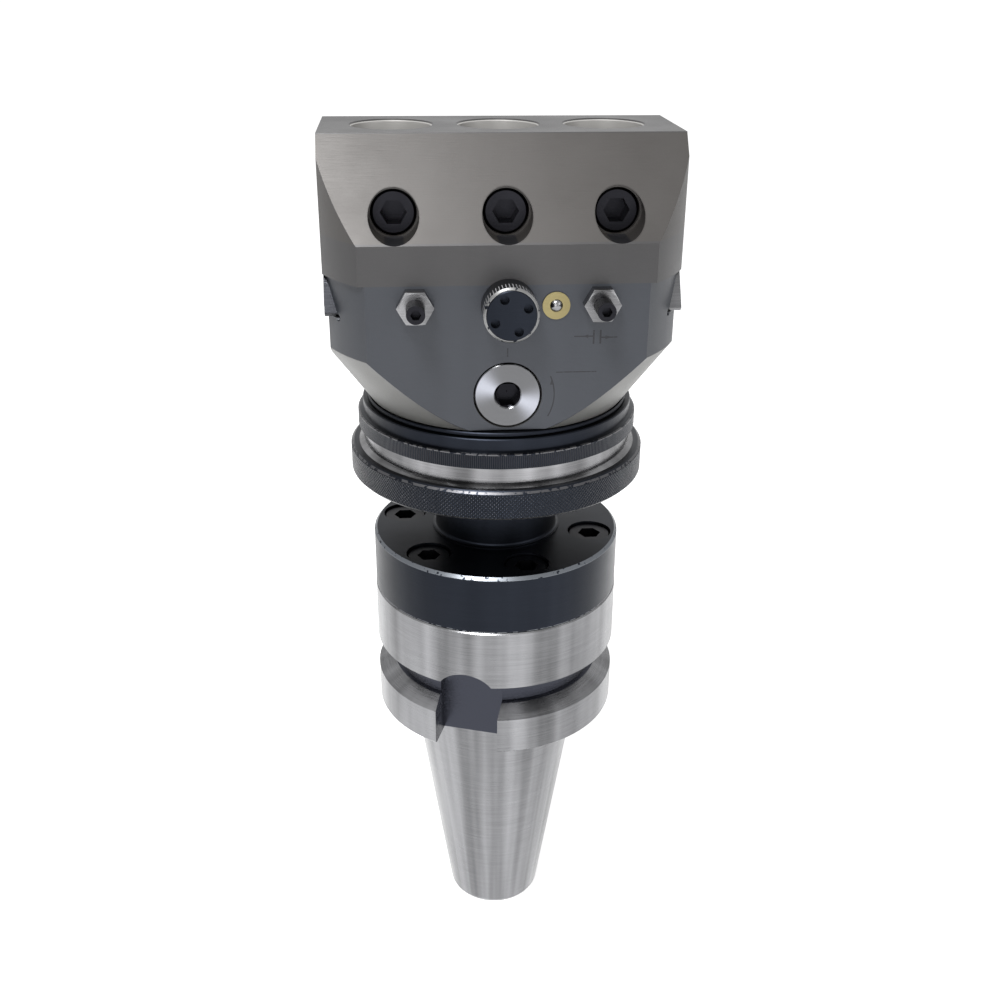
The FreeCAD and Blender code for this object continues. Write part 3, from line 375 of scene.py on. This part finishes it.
def discPaintedLight(coat, spot, look):
    disc = {"paintedFanTurn": 2.75, "socket": 0.0029, "skin": 0.00005, "rings": 9000.0, "deep": 0.00002}
    x, y, z = spot
    angle = coat.turn(x, z - selectorHeight)
    away = coat.reach(x, z - selectorHeight)
    # painted highlight: a bright fan fixed on the disc by angle, turning with it, brightened along the
    # real turned rings
    paintedFan = coat.maths("COSINE", (angle - disc["paintedFanTurn"]) * 2.0) * 0.5 + 0.5
    rings = coat.noise(coat.join(away, 0.0, 0.0), disc["rings"], 2.0)
    paintedSheen = coat.fit(coat.maths("POWER", paintedFan, 5.0) + rings * 0.25, 0.0, 1.1)
    look["color"] = coat.blend(paintedSheen, gray(0.08), shade(0.32, 0.33, 0.37))
    # painted shade: the inside of the hex socket is painted near black
    socket = (away < disc["socket"]) * (y > bodyFront + disc["skin"])
    paintOver(coat, look, socket, (0.01, 0.01, 0.012))
    look["height"] = look["height"] + rings * disc["deep"]


def threadMarks(coat, spot, look):
    thread = {"pitch": 0.0007, "deep": 0.0001}
    look["height"] = look["height"] + coat.ridge(spot[1] / thread["pitch"]) * thread["deep"]


def gibPaintedShade(coat, spot, look):
    # painted shade: the gib's left half is painted dark, so that its end at the body's left reads as a
    # shaded notch
    paintOver(coat, look, spot[0] < 0.0, (0.03, 0.031, 0.035))


def tickMarks(coat, spot, look):
    tick = {"count": 50, "front": -0.0373, "back": -0.0342, "skin": 0.0057, "share": 0.78,
            "edge": -0.03731, "edgeSkin": 0.0054}
    x, y, z = spot
    away = coat.reach(x, z - dialHeight)
    around = coat.turn(x, z - dialHeight) * (tick["count"] / (2 * math.pi))
    ink = (coat.ridge(around) > tick["share"]) * within(y, tick["front"], tick["back"])
    ink = ink * (away > tick["skin"])
    paintOver(coat, look, ink, (0.30, 0.30, 0.31))
    look["metal"] = 1.0 - ink
    edge = (y < tick["edge"]) * (away > tick["edgeSkin"])
    wearEdge(coat, spot, look, edge, (0.20, 0.20, 0.20), 0.36)


turnedGrain = (0.02, 0.02, 1.0)     # lines run round the spindle axis
groundGrain = (0.05, 1.0, 1.0)      # lines run along the slide


# streak is the scale of the painted reflection bands; contrast sets how far they and the grain lines
# move the colour
def finishOf(color, rough, grain, reflectionStreak=3.0, contrast=0.2, metal=1.0):
    return {"color": color, "rough": rough, "grain": grain, "fine": 4000.0, "reflectionStreak": reflectionStreak,
            "contrast": contrast, "metal": metal}


finishes = {
    "ground_steel": finishOf((0.165, 0.166, 0.172), 0.2, turnedGrain, reflectionStreak=4.0, contrast=0.55),
    "slide_steel": finishOf((0.038, 0.037, 0.038), 0.34, groundGrain, contrast=0.12, metal=0.4),
    "dark_ground_steel": finishOf((0.031, 0.034, 0.041), 0.36, groundGrain, contrast=0.12, metal=0.4),
    "black_steel": finishOf((0.013, 0.015, 0.020), 0.3, turnedGrain, contrast=0.25),
    "black_screw": finishOf((0.016, 0.016, 0.019), 0.3, turnedGrain),
    "polished_steel": finishOf((0.16, 0.16, 0.165), 0.14, turnedGrain, reflectionStreak=4.0, contrast=0.7),
    "gear_steel": finishOf((0.25, 0.25, 0.26), 0.3, turnedGrain),
    "bronze": finishOf((0.36, 0.24, 0.13), 0.3, turnedGrain),
    "brass": finishOf((0.20, 0.17, 0.085), 0.25, turnedGrain),
}
special = {
    "taper_shank": shankMarks,
    "mounting_flange": flangeMarks,
    "feed_ring": knurlMarks,
    "set_ring": serrationMarks,
    "head_body": bodyMarks,
    "tool_slide": slideMarks,
    "selector_disc": discPaintedLight,
    "gib_screws": threadMarks,
    "gib": gibPaintedShade,
}


def paintNodes():
    coats = {slot: metalCoat(slot, finish) for slot, finish in finishes.items()}
    for row in record["subparts"]:
        node, slot = row["node"], row["material_slot"]
        material = coats[slot]
        if node in special:
            material = metalCoat(node + "Coat", finishes[slot], special[node])
        skin = frame["nodes"][node].data
        skin.materials.clear()
        skin.materials.append(material)


paintNodes()
print("materials set")


def standRod(name, radius, sides, low, high, crosswise=False):
    middle = (low + high) / 2
    place = (0, middle, dialHeight) if crosswise else (0, 0, middle)
    turn = (math.radians(90), 0, 0) if crosswise else (0, 0, 0)
    bpy.ops.object.select_all(action="DESELECT")
    bpy.ops.mesh.primitive_cylinder_add(vertices=sides, radius=radius, depth=high - low,
                                        location=place, rotation=turn)
    rod = bpy.context.object
    rod.name = name
    bpy.ops.object.transform_apply(location=True, rotation=True, scale=True)
    return rod


def pickEnd(piece, axis, side, level):
    nearby = 0.00002
    for part in list(piece.data.edges) + list(piece.data.vertices):
        part.select = False
    for face in piece.data.polygons:
        face.select = face.normal[axis] * side > 0.9 and abs(face.center[axis] - level) < nearby
    bpy.ops.object.mode_set(mode="EDIT")
    bpy.ops.mesh.select_mode(type="FACE")


def cutAway(piece, cutter):
    bpy.ops.object.select_all(action="DESELECT")
    piece.select_set(True)
    bpy.context.view_layer.objects.active = piece
    cut = piece.modifiers.new("hole", "BOOLEAN")
    cut.operation = "DIFFERENCE"
    cut.object = cutter
    bpy.ops.object.modifier_apply(modifier=cut.name)
    bpy.data.objects.remove(cutter)


def finishPiece(piece, material, smooth):
    bpy.ops.object.shade_smooth_by_angle(angle=math.radians(smooth))
    piece.data.materials.append(material)


def makeDialCollar():
    collar = {"radius": 0.00595, "front": -0.0377, "back": -0.0301, "chamfer": 0.0004,
              "wall": 0.00015, "sunk": 0.0022}
    start = collar["front"] + collar["chamfer"]
    piece = standRod("dialCollar", collar["radius"], 120, start, collar["back"], crosswise=True)
    pickEnd(piece, 1, -1, start)
    bpy.ops.mesh.inset(thickness=collar["chamfer"], depth=collar["chamfer"])
    bpy.ops.mesh.inset(thickness=collar["wall"], depth=0)
    bpy.ops.mesh.extrude_region_move(TRANSFORM_OT_translate={"value": (0, collar["sunk"], 0)})
    bpy.ops.object.mode_set(mode="OBJECT")
    finishPiece(piece, metalCoat("collarCoat", finishes["black_steel"], tickMarks), 30)
    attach(piece, "dial")
    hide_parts("dial_ring")


def makeDialFace():
    face = {"radius": 0.00538, "front": -0.0380, "back": -0.0356, "chamfer": 0.0002}
    hole = {"circle": 0.003775, "radius": 0.001, "sunk": 0.0018, "count": 4, "turn": 24, "over": 0.001}
    start = face["front"] + face["chamfer"]
    piece = standRod("dialFace", face["radius"], 96, start, face["back"], crosswise=True)
    pickEnd(piece, 1, -1, start)
    bpy.ops.mesh.inset(thickness=face["chamfer"], depth=face["chamfer"])
    bpy.ops.object.mode_set(mode="OBJECT")
    for number in range(hole["count"]):
        angle = math.radians(90 + hole["turn"] + 360 * number / hole["count"])
        cutter = standRod("holeCutter", hole["radius"], 32, face["front"] - hole["over"],
                          face["front"] + hole["sunk"], crosswise=True)
        cutter.location = (hole["circle"] * math.cos(angle), 0, hole["circle"] * math.sin(angle))
        cutAway(piece, cutter)
    finishPiece(piece, metalCoat("dialFaceCoat", finishes["black_steel"]), 30)
    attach(piece, "dial")
    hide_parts("dial_knob")


makeDialCollar()
makeDialFace()
print("dial made")

ringSides = 192
ringOver = 0.001       # the bore's cutter stands out this far at both ends


def makeSetRing():
    ring = {"radius": 0.03415, "bore": 0.02808, "low": 0.0813, "step": 0.08495, "top": 0.0881,
            "shelf": 0.00125, "rise": 0.00045, "edge": 0.0002}
    piece = standRod("setRing", ring["radius"], ringSides, ring["low"] + ring["edge"], ring["step"])
    pickEnd(piece, 2, 1, ring["step"])
    bpy.ops.mesh.inset(thickness=ring["shelf"], depth=ring["rise"])
    lift = ring["top"] - ring["edge"] - ring["step"] - ring["rise"]
    bpy.ops.mesh.extrude_region_move(TRANSFORM_OT_translate={"value": (0, 0, lift)})
    bpy.ops.mesh.inset(thickness=ring["edge"], depth=ring["edge"])
    bpy.ops.object.mode_set(mode="OBJECT")
    cutAway(piece, standRod("boreCutter", ring["bore"], ringSides, ring["low"] - ringOver,
                            ring["top"] + ringOver))
    finishPiece(piece, metalCoat("setRingPaint", finishes["black_steel"], serrationMarks), 25)
    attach(piece, "set_ring_unit")
    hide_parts("set_ring")


def makeLipRing():
    lip = {"radius": 0.0317, "bore": 0.02802, "low": 0.0884, "top": 0.08915, "edge": 0.0002}
    start = lip["top"] - lip["edge"]
    piece = standRod("lipRing", lip["radius"], ringSides, lip["low"], start)
    pickEnd(piece, 2, 1, start)
    bpy.ops.mesh.inset(thickness=lip["edge"], depth=lip["edge"])
    bpy.ops.object.mode_set(mode="OBJECT")
    cutAway(piece, standRod("boreCutter", lip["bore"], ringSides, lip["low"] - ringOver,
                            lip["top"] + ringOver))
    finishPiece(piece, metalCoat("lipPaint", finishes["black_steel"]), 25)
    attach(piece, "root")
    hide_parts("retaining_ring")


makeSetRing()
makeLipRing()
print("rings made")


def layFloor():
    paper = {"reach": 40.0, "glow": 0.66, "white": 0.88}
    bpy.ops.object.select_all(action="DESELECT")
    bpy.ops.mesh.primitive_plane_add(size=paper["reach"], location=(0, 0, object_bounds()[0].z))
    floor = bpy.context.object
    floor.name = "paperFloor"
    material, coat = newMaterial("paper")
    coat.feed("Base Color", gray(paper["white"]))
    coat.feed("Roughness", 1.0)
    coat.feed("Specular IOR Level", 0.0)
    coat.feed("Emission Strength", paper["glow"])
    coat.feed("Emission Color", coat.blend(coat.straightRays(), gray(0.0), gray(1.0)))
    floor.data.materials.append(material)


def addLight(name, place, aim, size, power):
    lamp = bpy.data.lights.new(name, "AREA")
    lamp.shape = "RECTANGLE"
    lamp.size, lamp.size_y = size
    lamp.energy = power
    holder = bpy.data.objects.new(name, lamp)
    scene.collection.objects.link(holder)
    holder.location = place
    holder.rotation_euler = (Vector(aim) - Vector(place)).to_track_quat("-Z", "Y").to_euler()


def paintRoom():
    room = {"light": 0.45, "seen": 1.0}
    world = bpy.data.worlds.new("room")
    world.use_nodes = True
    scene.world = world
    coat = Coat(world.node_tree, "Background")
    coat.feed("Color", coat.blend(coat.straightRays(), gray(room["light"]), gray(room["seen"])))
    coat.feed("Strength", 1.0)


layFloor()
addLight("skyPanel", (-0.22, -0.46, 0.86), (0, 0, 0.10), (0.22, 0.22), 10.0)
addLight("fillPanel", (0.7, -0.5, 0.35), (0, 0, 0.06), (0.5, 0.6), 2.0)
addLight("frontPanel", (-0.3, -0.9, 0.25), (0, 0, 0.06), (0.6, 0.5), 2.5)
paintRoom()
print("lights set")
